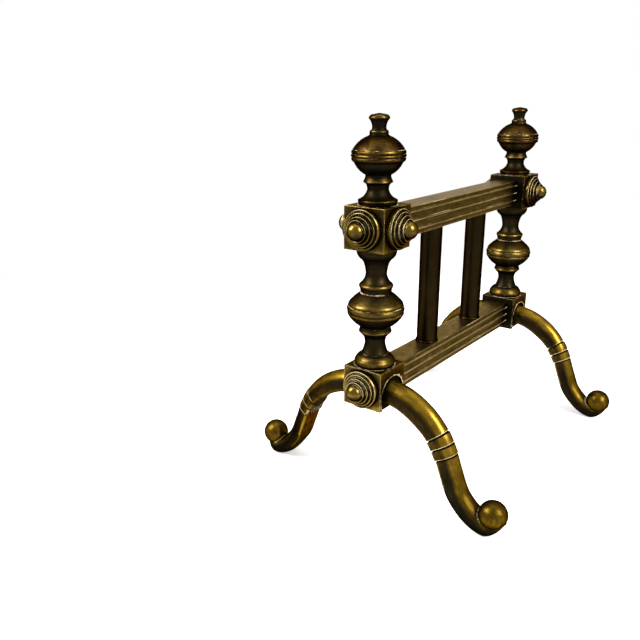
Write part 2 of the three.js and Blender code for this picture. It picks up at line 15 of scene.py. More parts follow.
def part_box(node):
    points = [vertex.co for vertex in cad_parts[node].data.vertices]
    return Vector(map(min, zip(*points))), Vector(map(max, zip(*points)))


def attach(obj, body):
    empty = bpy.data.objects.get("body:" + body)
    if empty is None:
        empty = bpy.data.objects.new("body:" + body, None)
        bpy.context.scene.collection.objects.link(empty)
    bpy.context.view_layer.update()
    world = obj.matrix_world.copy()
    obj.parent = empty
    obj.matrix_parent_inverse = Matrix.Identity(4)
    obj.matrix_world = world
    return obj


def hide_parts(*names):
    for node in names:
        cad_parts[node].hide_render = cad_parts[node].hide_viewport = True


bl_info = {
    "name": "Brass andiron",
    "version": (1, 0, 0),
    "blender": (4, 5, 0),
    "location": "View3D > Sidebar > Andiron",
    "description": "Builds the brass pieces of an andiron round its frame, and a plain stage",
    "category": "Object",
}

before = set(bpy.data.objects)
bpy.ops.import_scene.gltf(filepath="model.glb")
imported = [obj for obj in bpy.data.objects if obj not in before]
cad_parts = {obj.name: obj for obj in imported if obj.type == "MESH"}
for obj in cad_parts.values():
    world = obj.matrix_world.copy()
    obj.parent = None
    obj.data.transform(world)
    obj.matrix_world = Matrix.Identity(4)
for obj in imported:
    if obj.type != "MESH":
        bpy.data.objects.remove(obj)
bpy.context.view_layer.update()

MM = 0.001
ENDS = {"front": -1, "rear": 1}  # the way each post's end face looks along Y

# ---- Outlines, in millimetres -------------------------------------------------------------------

# Each row is one moulding: the radius it ends at, its rise, and its bow, the share of the face's
# length by which its middle stands out (+) or in (-).
FINIAL_BASE_RADIUS = 11.1
FINIAL_MOULDINGS = [
    (11.9, 2.6, 0),  # flange
    (11.2, 0.5, 0),
    (6.35, 5.7, -0.13),  # cove
    (7.1, 3.1, -0.06),  # neck
    (8.88, 1.2, 0),  # sharp ring
    (7.6, 2.8, -0.03),
    (7.5, 1.2, 0),
    (14.2, 7, 0.09),  # underside of the bulb
    (15.3, 0.9, 0),
    (15.45, 2.1, 0.2),  # three beads round the bulb
    (15.45, 1.8, 0.32),
    (15.2, 2.3, 0.22),
    (6.5, 7.6, 0.09),  # dome
    (5.5, 0.6, 0),
    (5.5, 1.1, 0),  # collar
    (4.4, 1.7, 0.2),  # bead
    (4.1, 1.3, -0.05),  # waist
    (6.15, 4.9, -0.1),  # flared seat of the knob
    (4.5, 2.1, 0.15),  # knob
    (0, 0.8, 0),
]
BALUSTER_BASE_RADIUS = 12
BALUSTER_MOULDINGS = [
    (12.2, 4.1, 0.19),  # base torus
    (8.4, 3.4, 0.1),
    (8.3, 0.6, 0),  # fillet
    (6.5, 6.1, -0.04),  # lower neck
    (7.4, 4.6, -0.065),
    (10.4, 3.2, 0),  # lower ring
    (9.65, 2.3, -0.03),
    (9.45, 1.1, 0),
    (17.1, 7.5, 0.07),  # underside of the bulb
    (17.3, 1.9, 0.17),  # three beads round the bulb
    (17.1, 3.9, 0.16),
    (16.3, 2.3, 0.1),
    (9.6, 5.9, 0.03),  # upper side of the bulb
    (9.5, 0.4, 0),
    (9.8, 1.9, 0),  # band
    (10.6, 2.1, 0),  # sharp ring
    (10.2, 0.9, 0),
    (6.5, 6.6, -0.11),  # upper cove
    (8.1, 7.4, -0.04),  # upper neck
    (8.9, 1.3, 0.1),  # small ring
    (12.2, 4.8, 0.13),  # ovolo under the block
    (12.2, 2, 0),
]
ROSETTE_SEAT_RADIUS = 12.2
ROSETTE_MOULDINGS = [
    (12.2, 2.2, 0),  # outer wall, standing in its recess
    (11.9, 1.8, 0.1),  # first ring
    (10.6, -0.3, 0.12),
    (10.2, 1.5, -0.1),  # second ring
    (8.8, -0.3, 0.14),
    (8.3, 2, -0.1),  # third ring
    (7.1, -0.3, 0.14),
    (6.6, 2.3, -0.1),  # fourth ring
    (4.8, -0.9, 0.1),
    (5.3, 0.9, 0),  # button
    (3.9, 3.4, 0.12),
    (0, 1.4, 0.1),
]
ROSETTE_RECESS_RADIUS = 12.5
ROSETTE_SINK = 0.9  # how far a rosette's back lies below the block's face
ROSETTE_RECESS_DEPTH = 1.2
# The second number sets the pale painted highlight along the rosettes' sharp ridges.
ROSETTE_STEPS, ROSETTE_RIDGE_LIGHT = 72, 1.4
SPIGOT_RADIUS, SPIGOT_LENGTH = 2.3, 4.8

ROD_BORE_RADIUS = 3.3
FINIAL_BORE_DEPTH = 18.3
COUNTERBORE_RADIUS, COUNTERBORE_DEPTH = 7.2, 6.4

BLOCK_EASE = 0.3  # how far a block's edges are worn back
BLOCK_GRADES = (0.55, 1.1, 2.2, 4.4, 7.5, 10.5)  # lines of points in from a block's edges
SEAT_CHAMFER, SEAT_STEPS, HOLE_STEPS = 0.12, 96, 32
# Shallow lines on the blocks' tops, round the turnings that stand there.
FOOT_LINE_RADII = {"upper": 12.05, "lower": 13}
FOOT_LINE_WIDTH, FOOT_LINE_DEPTH = 0.55, 0.01

SPINDLES = ("spindle_1", "spindle_2")
SPINDLE_RADIUS, SPINDLE_STEPS = 7.26, 64
SPINDLE_RING_RADIUS, SPINDLE_RING_HEIGHT = 7.8, 1.2
SPINDLE_TENON_RADIUS, SPINDLE_TENON_LENGTH = 3.5, 5

RAIL_WIDTH, RAIL_HEIGHT = 16.6, 18.4
REED_WIDTH, REED_PROUD, REED_PITCH, REED_COUNT = 1.6, 0.6, 5.7, 3
FLUTE_DEPTH, RAIL_EDGE, RAIL_EASE, RAIL_STEPS = 0.4, 0.5, 0.35, 56
TENON_WIDTH, TENON_HEIGHT, TENON_PAST_AXIS = 10, 9, 6
CLEARANCE = 0.3

LEG_REACH, LEG_WIDTH, LEG_TIP_SIZE, LEG_CORNER = 93.8, 16.6, 3, 0.9
LOWER_BLOCK_BASE = 64.2
LEG_ROOT_OUT, LEG_ROOT_RISE, LEG_TIP_HEIGHT = 12.95, 11.3, 11.8
LEG_ROOT_HEIGHT = LEG_ROOT_RISE + LOWER_BLOCK_BASE
LEG_RECESS_RADIUS, LEG_RECESS_RISE, LEG_RECESS_DEPTH = 12.7, 7.4, 1.2
COLLAR_DISTANCE, COLLAR_BAND, COLLAR_GROOVES = 42.4, 6.9, 3
COLLAR_GROOVE_WIDTH, COLLAR_GROOVE_DEPTH, COLLAR_SWELL = 1.2, 0.9, 0.35
STUD_RADIUS, STUD_IN_BLOCK, STUD_IN_LEG = 2, 5.4, 8
BALL_RADIUS, BALL_OUT, BALL_HEIGHT = 8.8, 86.3, 14
BALL_TONE = -0.05
LEG_ROUND_FROM, LEG_TIP_FROM = 0.6, 0.88  # shares of its length where the section rounds, and shrinks
# The leg's middle line: share of its reach, share of its drop, depth of its section.
LEG_LINE = [
    (0, 0, 13),
    (0.155, 0.05, 13.2),
    (0.306, 0.156, 13.2),
    (0.429, 0.303, 12),
    (0.516, 0.492, 11.2),
    (0.573, 0.677, 11),
    (0.645, 0.893, 11.4),
    (0.762, 1.054, 12.4),
    (0.864, 1.102, 12.2),
    (0.942, 1.075, 9.6),
    (1, 1, 5),
]

# ---- The photo's view, in metres ----------------------------------------------------------------

CAMERA_PLACE, CAMERA_ROLL = (0.21896, -0.42932, 0.25036), 0.0075
CAMERA_FORWARD = (-0.5908, 0.7423, -0.3160)
SENSOR_WIDTH = 36
LAMP_TARGET = (0, 0, 0.12)
SOFT_BOX_SIZE, TOP_LAMP_SIZE = (0.42, 0.6), (0.9, 0.9)
FLOOR_SIZE, FLOOR_GLOW = 6, 0.42
WHITE = (1, 1, 1, 1)
WHITE_FROM, WHITE_TO = 0.2, 0.75  # distances between which the floor turns to plain white

# ---- Settings -----------------------------------------------------------------------------------


def number_setting(name, description, default, **limits):
    return FloatProperty(name=name, description=description, default=default, **limits)


def colour_setting(name, description, default):
    return FloatVectorProperty(
        name=name, description=description, default=default, subtype="COLOR", size=3, min=0, max=1
    )


class TurningSettings(bpy.types.PropertyGroup):
    steps: IntProperty(name="Steps round", description="Faces round a turned piece", default=96, min=12)
    fineness: number_setting("Fineness", "Longest step along an outline, in mm", 0.7, min=0.1)
    arris: number_setting("Arris", "How far a sharp edge is worn back, in mm", 0.28, min=0.01)


class FinishSettings(bpy.types.PropertyGroup):
    # The darkest colour also paints shade on undersides, in recesses and by the rear block.
    patina_and_shade: colour_setting("Patina", "Brown-black in the hollows", (0.0055, 0.0044, 0.0025))
    aged: colour_setting("Aged brass", "Olive brown of the untouched faces", (0.0150, 0.0108, 0.0040))
    worn: colour_setting("Worn brass", "Golden brown where hands have rubbed", (0.046, 0.029, 0.0055))
    bright: colour_setting("Bright brass", "Gold of the ridges", (0.16, 0.104, 0.020))
    leg_worn: colour_setting("Worn leg", "Golden brown of the legs", (0.062, 0.036, 0.0026))
    leg_bright: colour_setting("Bright leg", "Gold along the legs", (0.20, 0.122, 0.012))
    rail_worn: colour_setting("Worn rail", "Dusty brown of the rails", (0.090, 0.058, 0.0165))
    rail_bright: colour_setting("Bright rail", "Pale gold of the reeds", (0.27, 0.190, 0.075))
    # The pale colour below also paints highlights along sharp ridges and reeds.
    residue_and_ridge_light: colour_setting("Polish residue", "Pale dried polish in the creases", (0.52, 0.43, 0.22))
    russet: colour_setting("Russet", "Reddish brown of the tarnished patches", (0.028, 0.0135, 0.0040))
    spindle: colour_setting("Spindle", "Reddish black of the spindles", (0.0105, 0.0060, 0.0020))
    steel: colour_setting("Steel", "Dull grey of the rods and nuts", (0.12, 0.115, 0.105))
    rust: colour_setting("Rust", "Brown spots on the steel", (0.055, 0.026, 0.012))


class StageSettings(bpy.types.PropertyGroup):
    floor: colour_setting("Floor", "Pale floor", (0.9, 0.9, 0.9))
    surround: number_setting("Surround", "Level of the pale surround's light", 0.42, min=0)
    side_lamp: number_setting("Side lamps", "Power of the soft boxes", 21, unit="POWER", min=0)
    top_lamp: number_setting("Top lamp", "Power of the lamp above", 4, unit="POWER", min=0)
    lens: number_setting("Lens", "Focal length", 37.73, unit="CAMERA", min=1)


# ---- Outlines and meshes ------------------------------------------------------------------------


def box_mm(node):
    """A frame node's lowest and highest corner, in millimetres."""
    low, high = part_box(node)
    return low / MM, high / MM


def arc_points(start, end, bow, fineness):
    """The points of an arc after its start, bowed out by a share of its chord."""
    chord = end - start
    length = chord.length
    turn = 4 * math.atan(2 * bow)
    count = max(1, math.ceil(length / fineness), math.ceil(abs(turn) / math.radians(9)))
    if abs(turn) < 1e-6:
        return [start.lerp(end, (index + 1) / count) for index in range(count)]
    along = chord / length
    outward = Vector((along.y, -along.x))
    radius = length / (2 * math.sin(turn / 2))
    points = []
    for index in range(count):
        angle = turn * ((index + 1) / count - 0.5)
        points.append(
            start
            + along * (length / 2 + radius * math.sin(angle))
            + outward * radius * (math.cos(angle) - math.cos(turn / 2))
        )
    return points


def turning_at(points, index):
    """How far an outline turns at a point: positive on a ridge, negative in a hollow."""
    before = points[index] - points[index - 1]
    after = points[index + 1] - points[index]
    if before.length < 1e-6 or after.length < 1e-6:
        return 0
    return math.atan2(before.x * after.y - before.y * after.x, before.dot(after))


def eased(points, arris, painted_ridge_light=0):
    """An outline with its sharp corners worn back, and each point's crease, 1 in a sharp hollow.

    A sharp ridge gets a pale line of its own strength along it, a painted highlight.
    """
    result, creases = [points[0]], [0]
    for index in range(1, len(points) - 1):
        point, turn = points[index], turning_at(points, index)
        if abs(turn) < math.radians(17):
            result.append(point)
            creases.append(0)
            continue
        before, after = points[index - 1], points[index + 1]
        reach_before = min(arris, 0.45 * (before - point).length)
        reach_after = min(arris, 0.45 * (after - point).length)
        first = point + (before - point).normalized() * reach_before
        last = point + (after - point).normalized() * reach_after
        # Pale polish in a sharp hollow; on a sharp ridge, a pale painted highlight.
        crease, beside = (1, 0.6) if turn < 0 else (painted_ridge_light, 0.8 * painted_ridge_light)
        result += [first, point / 2 + (first + last) / 4, last]
        creases += [beside, crease, beside]
    return result + [points[-1]], creases + [0]


def reliefs_of(points):
    """For each point of an outline, how far it stands out (+) or in (-) of its surroundings."""
    places = [0]
    for index in range(1, len(points)):
        places.append(places[-1] + (points[index] - points[index - 1]).length)
    reliefs = []
    for index, point in enumerate(points):
        before, after = points[max(0, index - 1)], points[min(len(points) - 1, index + 1)]
        along = (after - before).normalized()
        outward = Vector((along.y, -along.x))
        relief = 0
        for reach, rise in ((2, 0.3), (8, 2.6)):
            total, weights = Vector((0, 0)), 0
            for other in range(1, len(points)):
                middle = (places[other] + places[other - 1]) / 2
                if abs(middle - places[index]) <= reach:
                    weight = places[other] - places[other - 1]
                    total += (points[other] + points[other - 1]) / 2 * weight
                    weights += weight
            if weights:
                relief += (point - total / weights).dot(outward) / rise
        reliefs.append(max(-1, min(1, relief)))
    return reliefs


def moulded(foot, mouldings, top, turning):
    """A turned outline as (radius, height) points: a foot, its mouldings, and a top."""
    points = [Vector(foot[0])]
    for corner in foot[1:]:
        points += arc_points(points[-1], Vector(corner), 0, turning.fineness * 2)
    for radius, rise, bow in mouldings:
        end = Vector((radius, points[-1].y + rise))
        points += arc_points(points[-1], end, bow, turning.fineness)
    for radius, height in top:
        points += arc_points(points[-1], Vector((radius, height)), 0, turning.fineness * 2)
    return points


def new_bmesh():
    """An empty bmesh whose points carry their tone and crease."""
    bm = bmesh.new()
    bm.verts.layers.float.new("tone")
    bm.verts.layers.float.new("crease")
    return bm


def mark(bm, vert, tone, crease=0):
    vert[bm.verts.layers.float["tone"]] = tone
    vert[bm.verts.layers.float["crease"]] = crease


def spun(points, steps, tones=None, creases=None):
    """A turned solid on +Z from an outline that starts and ends on the axis, or closes on itself."""
    bm = new_bmesh()
    last = None
    for index, point in enumerate(points):
        vert = bm.verts.new((max(0, point.x), 0, point.y))
        mark(bm, vert, tones[index] if tones else 0, creases[index] if creases else 0)
        if last:
            bm.edges.new((last, vert))
        last = vert
    bmesh.ops.spin(
        bm,
        geom=bm.verts[:] + bm.edges[:],
        cent=(0, 0, 0),
        axis=(0, 0, 1),
        angle=2 * math.pi,
        steps=steps,
        use_merge=True,
    )
    bmesh.ops.remove_doubles(bm, verts=bm.verts[:], dist=1e-4)
    bmesh.ops.recalc_face_normals(bm, faces=bm.faces[:])
    return bm


def turned(foot, mouldings, top, turning, steps=None, painted_ridge_light=0):
    points, creases = eased(moulded(foot, mouldings, top, turning), turning.arris, painted_ridge_light)
    return spun(points, steps or turning.steps, reliefs_of(points), creases)


def shaded(bm, low, high, amount):
    """Darkens a turned piece from one height toward another."""
    tone = bm.verts.layers.float["tone"]
    for vert in bm.verts:
        vert[tone] -= amount * max(0, min(1, (vert.co.z - low) / (high - low)))
    return bm


def blend_between(one, other, share):
    return one + (other - one) * share


def smooth_step(value, low, high):
    share = max(0, min(1, (value - low) / (high - low)))
    return share * share * (3 - 2 * share)


def lofted(rings):
    """A solid through rings of (place, tone, crease) points, closed at both ends."""
    bm = new_bmesh()
    verts = [bm.verts.new(place) for place, _, _ in rings[0]]
    edges = [bm.edges.new((verts[index - 1], verts[index])) for index in range(len(verts))]
    bm.faces.new(verts)
    for number, ring in enumerate(rings):
        if number:
            made = bmesh.ops.extrude_edge_only(bm, edges=edges)["geom"]
            fresh = {item for item in made if isinstance(item, bmesh.types.BMVert)}
            edges = [item for item in made if isinstance(item, bmesh.types.BMEdge)]
            following = {}
            for vert in verts:
                others = [edge.other_vert(vert) for edge in vert.link_edges]
                following[vert] = next(other for other in others if other in fresh)
            verts = [following[vert] for vert in verts]
        for vert, (place, tone, crease) in zip(verts, ring):
            vert.co = place
            mark(bm, vert, tone, crease)
    bmesh.ops.contextual_create(bm, geom=edges)
    bmesh.ops.recalc_face_normals(bm, faces=bm.faces[:])
    return bm


def bar(radius, low, high, steps=48, flare=0):
    """A plain round bar on +Z for cutting, with a flare through the plane that it cuts."""
    points = [(0, low), (radius, low), (radius, high)]
    if flare:
        wide = radius + 2 * flare
        points = [(0, low), (radius, low), (radius, -flare), (wide, flare), (wide, high)]
    return spun([Vector(point) for point in points] + [Vector((0, high))], steps)


def block_between(low, high):
    bm = new_bmesh()
    size = Vector(high) - Vector(low)
    placing = Matrix.Translation((Vector(low) + Vector(high)) / 2) @ Matrix.Diagonal((*size, 1))
    bmesh.ops.create_cube(bm, size=1, matrix=placing)
    return bm


def placed(bm, placing):
    bmesh.ops.transform(bm, matrix=placing, verts=bm.verts[:])
    return bm


def loose_object(bm, name):
    mesh = bpy.data.meshes.new(name)
    bm.to_mesh(mesh)
    bm.free()
    holder = bpy.data.objects.new(name, mesh)
    bpy.context.scene.collection.objects.link(holder)
    return holder


def combined(bm, tools, operation):
    """A bmesh cut by others, or joined with them, in order."""
    holder = loose_object(bm, "worked")
    helpers = [loose_object(tool, "tool") for tool in tools]
    for helper in helpers:
        modifier = holder.modifiers.new("work", "BOOLEAN")
        modifier.operation = operation
        modifier.solver = "EXACT"
        modifier.object = helper
    bpy.context.view_layer.update()
    result = bpy.data.meshes.new_from_object(
        holder.evaluated_get(bpy.context.evaluated_depsgraph_get())
    )
    made = bmesh.new()
    made.from_mesh(result)
    bpy.data.meshes.remove(result)
    for used in [holder, *helpers]:
        mesh = used.data
        bpy.data.objects.remove(used)
        bpy.data.meshes.remove(mesh)
    for name in ("tone", "crease"):
        if name not in made.verts.layers.float:
            made.verts.layers.float.new(name)
    bmesh.ops.remove_doubles(made, verts=made.verts[:], dist=1e-3)
    return made


def set_piece(bm, name, node, finish, placing=Matrix(), sharp=40, painted_light_and_shade=0.4, wiped=2.5):
    """Sets a piece in its place in metres, as the shape that stands for a frame node.

    Its tone gets painted light on its upper sides and painted shade on its undersides, as strong as
    the argument after sharp, and wiped is how fast the pale creases go from its undersides.
    """
    bmesh.ops.transform(bm, matrix=Matrix.Scale(MM, 4) @ placing, verts=bm.verts[:])
    bmesh.ops.recalc_face_normals(bm, faces=bm.faces[:])
    bm.normal_update()
    tone, crease = bm.verts.layers.float["tone"], bm.verts.layers.float["crease"]
    for vert in bm.verts:
        up, down = max(0, vert.normal.z), max(0, -vert.normal.z)
        # Painted light on the upper sides; painted shade on the undersides, which also lose their own
        # tone.
        vert[tone] = vert[tone] * (1 - down) + painted_light_and_shade * (min(0.6, up) - 4.2 * down)
        vert[crease] *= max(0, 1 - wiped * down)
    for face in bm.faces:
        face.smooth = True
    for edge in bm.edges:
        edge.smooth = edge.calc_face_angle(0) < math.radians(sharp)
    mesh = bpy.data.meshes.new(name)
    bm.to_mesh(mesh)
    bm.free()
    mesh.materials.append(finish)
    piece = bpy.data.objects.new(name, mesh)
    bpy.context.scene.collection.objects.link(piece)
    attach(piece, "root")
    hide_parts(node)
    return piece


def post_place(end):
    """The middle of a post, turned so that its own -Y looks out of the andiron's end."""
    low, high = box_mm(f"lower_block_{end}")
    turn = 0 if end == "front" else math.pi
    return Matrix.Translation((0, (low.y + high.y) / 2, 0)) @ Matrix.Rotation(turn, 4, "Z")


def outward(angle, distance, height):
    """From +Z at the origin to the outward direction of a block's face."""
    return (
        Matrix.Rotation(angle, 4, "Z")
        @ Matrix.Translation((distance, 0, height))
        @ Matrix.Rotation(math.pi / 2, 4, "Y")
    )


END_ANGLE = -math.pi / 2
ROUND_STREAK = (0.6, 0.6, 2.6)  # how a turned piece's fine lines stretch along X, Y and Z
# The side of the andiron that a post's own +X and -X faces look to.
SIDES = {"front": {"right": 0, "left": math.pi}, "rear": {"left": 0, "right": math.pi}}
POST_BLOCKS = [(end, level) for end in ENDS for level in ("upper", "lower")]


def rosette_angles(end, level):
    """The directions, in the post's own frame, of the rosettes on one of its blocks."""
    return {"end": END_ANGLE, **(SIDES[end] if level == "upper" else {})}


# ---- Finishes -----------------------------------------------------------------------------------


class Value:
    """A number socket whose arithmetic adds Math nodes."""

    def __init__(self, shader, socket):
        self.shader = shader
        self.socket = socket

    def _with(self, operation, one, other):
        return self.shader.node("ShaderNodeMath", {"operation": operation}, {0: one, 1: other}).value(0)

    def __add__(self, other):
        return self._with("ADD", self, other)

    __radd__ = __add__

    def __sub__(self, other):
        return self._with("SUBTRACT", self, other)

    def __rsub__(self, other):
        return self._with("SUBTRACT", other, self)

    def __mul__(self, other):
        return self._with("MULTIPLY", self, other)

    __rmul__ = __mul__

    def power(self, other):
        return self._with("POWER", self, other)

    def clamped(self, low=0.0, high=1.0, to_low=0.0, to_high=1.0):
        """The value mapped from one range to another, and held inside it."""
        return self.shader.node(
            "ShaderNodeMapRange",
            {"clamp": True},
            {"Value": self, "From Min": low, "From Max": high, "To Min": to_low, "To Max": to_high},
        ).value(0)


class Node:
    def __init__(self, shader, node):
        self.shader = shader
        self.node = node

    def value(self, name):
        return Value(self.shader, self.node.outputs[name])


class Shader:
    """The nodes of one material or world."""

    def __init__(self, owner):
        self.owner = owner
        self.owner.use_nodes = True
        self.tree = owner.node_tree
        self.tree.nodes.clear()

    def node(self, kind, settings=None, inputs=None):
        """A node with its settings set first, then its sockets' values or links."""
        node = self.tree.nodes.new(kind)
        for name, value in (settings or {}).items():
            if name == "stops":
                ramp = node.color_ramp
                while len(ramp.elements) < len(value):
                    ramp.elements.new(0.5)
                for element, (position, colour) in zip(ramp.elements, value):
                    element.position = position
                    element.color = (*colour, 1)
            else:
                setattr(node, name, value)
        for name, value in (inputs or {}).items():
            socket = node.inputs[name]
            if isinstance(value, Value):
                self.tree.links.new(value.socket, socket)
            else:
                socket.default_value = value
        return Node(self, node)

    def attribute(self, name):
        return self.node("ShaderNodeAttribute", {"attribute_name": name}).value("Fac")

    def place(self, scale=(1, 1, 1)):
        coordinates = self.node("ShaderNodeTexCoord").value("Object")
        return self.node("ShaderNodeMapping", {}, {"Vector": coordinates, "Scale": scale}).value(0)

    def noise(self, place, scale, detail=3.0, roughness=0.55):
        return self.node(
            "ShaderNodeTexNoise",
            {},
            {"Vector": place, "Scale": scale, "Detail": detail, "Roughness": roughness},
        ).value("Fac")

    def ramp(self, value, stops):
        return self.node("ShaderNodeValToRGB", {"stops": stops}, {"Fac": value}).value("Color")

    def mixed(self, share, one, other):
        colours = {
            name: (*colour, 1) if isinstance(colour, tuple) else colour
            for name, colour in (("A", one), ("B", other))
        }
        node = self.node("ShaderNodeMix", {"data_type": "RGBA"})
        inputs = {"Factor": node.node.inputs[0], "A": node.node.inputs[6], "B": node.node.inputs[7]}
        for name, value in {"Factor": share, **colours}.items():
            if isinstance(value, Value):
                self.tree.links.new(value.socket, inputs[name])
            else:
                inputs[name].default_value = value
        return Value(self, node.node.outputs[2])

    def finish(self, colour, metal, roughness, normal=None, **others):
        inputs = {"Base Color": colour, "Metallic": metal, "Roughness": roughness, **others}
        if normal:
            inputs["Normal"] = normal
        surface = self.node("ShaderNodeBsdfPrincipled", {}, inputs).value(0)
        self.node("ShaderNodeOutputMaterial", {}, {"Surface": surface})
        return self.owner

    def seen(self):
        """1 for what the camera sees, straight or in a mirror or through glass."""
        rays = self.node("ShaderNodeLightPath")
        kinds = ("Is Camera Ray", "Is Glossy Ray", "Is Transmission Ray")
        camera, glossy, transmission = [rays.value(kind) for kind in kinds]
        return (camera + glossy + transmission).clamped()

    def bump(self, height, strength, distance):
        inputs = {"Strength": strength, "Distance": distance, "Height": height}
        return self.node("ShaderNodeBump", {}, inputs).value(0)


def material_shader(name):
    return Shader(bpy.data.materials.new(name))


def brass_finish(name, finish, level=0.5, relief=0.42, mottle=0.5, residue_and_ridge_light=0.8, gloss=0.0, **others):
    """Aged brass: dark in hollows, gold on ridges, mottled, pale polish in creases, painted highlights
    on ridges.

    others may give its streak's scale, how tarnished it is, how pale at grazing angles (sheen), and
    the kind of piece, where the settings hold a worn and a bright brass for it.
    """
    kind, sheen = others.get("kind", ""), others.get("sheen", 0.15)
    shader = material_shader(name)
    tone = shader.attribute("tone")
    crease = shader.attribute("crease")
    plain = shader.place()
    streaked = shader.place(others.get("streak", (1, 1, 1)))
    broad = shader.noise(plain, 55, 3)
    patches = shader.noise(plain, 190, 4, 0.6)
    lines = shader.noise(streaked, 420, 4, 0.65)
    grain = shader.noise(plain, 2600, 2)
    # The ramp's place: wear, patina and mottling, with the painted light and shade that the tone
    # carries.
    wear_and_shade = tone * relief + (broad - 0.5) * mottle + (patches - 0.5) * (0.7 * mottle)
    wear_and_shade = wear_and_shade + (lines - 0.5) * 0.6 + level
    stops = [
        (0.0, tuple(finish.patina_and_shade)),
        (0.36, tuple(finish.aged)),
        (0.66, tuple(getattr(finish, f"{kind}worn"))),
        (1.0, tuple(getattr(finish, f"{kind}bright"))),
    ]
    reddened = (broad - patches * 0.6).clamped(0.1, 0.3) * wear_and_shade.clamped(0.05, 0.4)
    reddened = reddened * others.get("tarnish", 0.4)
    colour = shader.mixed(reddened, shader.ramp(wear_and_shade, stops), tuple(finish.russet))
    # Pale polish residue in creases, and pale painted highlights where a ridge's crease is marked.
    dried_and_ridge_light = (crease * residue_and_ridge_light + (lines - 0.5) * 1.8 + (broad - 0.5) * 1.6).clamped(0.6, 1.0)
    colour = shader.mixed(dried_and_ridge_light * 0.8, colour, tuple(finish.residue_and_ridge_light))
    roughness = (wear_and_shade * -0.2 + (grain - 0.5) * 0.16 + (0.48 - gloss)).clamped(0.12, 0.8, 0.12, 0.8)
    bump = shader.bump(lines * 0.5 + patches * 0.5 + grain * 0.25, 0.35, 0.0003)
    tint = {"Specular Tint": (sheen, sheen * 0.85, sheen * 0.65, 1)}
    return shader.finish(colour, 1 - dried_and_ridge_light * 0.85, roughness + dried_and_ridge_light * 0.25, bump, **tint)


def spindle_finish(name, finish):
    """Nearly black brass, streaked along +Z."""
    shader = material_shader(name)
    plain = shader.place()
    streaked = shader.place((6, 6, 0.5))
    broad = shader.noise(plain, 60, 3)
    lines = shader.noise(streaked, 300, 4, 0.6)
    grain = shader.noise(plain, 2400, 2)
    # Its tone brings painted light on upper sides and painted shade on undersides.
    wear_and_shade = shader.attribute("tone") * 0.4 + (broad - 0.5) * 0.7 + (lines - 0.5) * 0.9 + 0.46
    stops = [
        (0.0, tuple(finish.patina_and_shade)),
        (0.35, tuple(finish.spindle)),
        (0.75, tuple(finish.aged)),
        (1.0, tuple(finish.worn)),
    ]
    bump = shader.bump(lines + grain * 0.3, 0.3, 0.0003)
    roughness = (0.36 - wear_and_shade * 0.15).clamped(0.15, 0.6, 0.15, 0.6)
    tint = {"Specular Tint": (0.3, 0.2, 0.1, 1)}
    return shader.finish(shader.ramp(wear_and_shade, stops), 1.0, roughness, bump, **tint)


def steel_finish(name, finish):
    shader = material_shader(name)
    plain = shader.place()
    spots = shader.noise(plain, 300, 4, 0.6)
    grain = shader.noise(plain, 2400, 2)
    rust = spots.clamped(0.5, 0.75)
    colour = shader.mixed(rust, tuple(finish.steel), tuple(finish.rust))
    bump = shader.bump(spots + grain * 0.3, 0.3, 0.0002)
    return shader.finish(colour, 1 - rust * 0.7, 0.42 + rust * 0.35, bump)


# ---- Operators ----------------------------------------------------------------------------------


class AndironOperator(bpy.types.Operator):
    """Common settings of the pieces' operators"""

    bl_options = {"REGISTER", "UNDO"}

    @property
    def turning(self):
        return bpy.context.scene.andiron_turning

    @property
    def colours(self):
        return bpy.context.scene.andiron_finish


class AddFinials(AndironOperator):
    """Turn the two finials"""

    bl_idname = "andiron.finials"
    bl_label = "Finials"

    def execute(self, context):
        look = {"streak": ROUND_STREAK, "tarnish": 1.3}
        finish = brass_finish("turned_brass_finial", self.colours, 0.42, 0.36, 0.6, **look)
        for end in ENDS:
            height = box_mm(f"finial_{end}")[0].z
            foot = [(0, FINIAL_BORE_DEPTH), (ROD_BORE_RADIUS, FINIAL_BORE_DEPTH)]
            foot += [(ROD_BORE_RADIUS, 0), (FINIAL_BASE_RADIUS, 0)]
            bm = turned(foot, FINIAL_MOULDINGS, [], self.turning)
            placing = post_place(end) @ Matrix.Translation((0, 0, height))
            set_piece(bm, f"brass_finial_{end}", f"finial_{end}", finish, placing)
        return {"FINISHED"}


class AddBalusters(AndironOperator):
    """Turn the two balusters"""

    bl_idname = "andiron.balusters"
    bl_label = "Balusters"

    def execute(self, context):
        finish = brass_finish("turned_brass_baluster", self.colours, 0.45, 0.34, streak=ROUND_STREAK)
        for end in ENDS:
            low, high = box_mm(f"baluster_{end}")
            length = high.z - low.z
            foot = [(ROD_BORE_RADIUS, 0), (BALUSTER_BASE_RADIUS, 0)]
            top = [(ROD_BORE_RADIUS, length), (ROD_BORE_RADIUS, 0)]
            bm = turned(foot, BALUSTER_MOULDINGS, top, self.turning)
            # Painted shadow of the block over the top of each baluster; the tone also darkens toward
            # its foot.
            bm = shaded(shaded(bm, length - 10, length - 4, 1.3), 7, 2, 0.35)
            placing = post_place(end) @ Matrix.Translation((0, 0, low.z))
            set_piece(bm, f"brass_baluster_{end}", f"baluster_{end}", finish, placing)
        return {"FINISHED"}


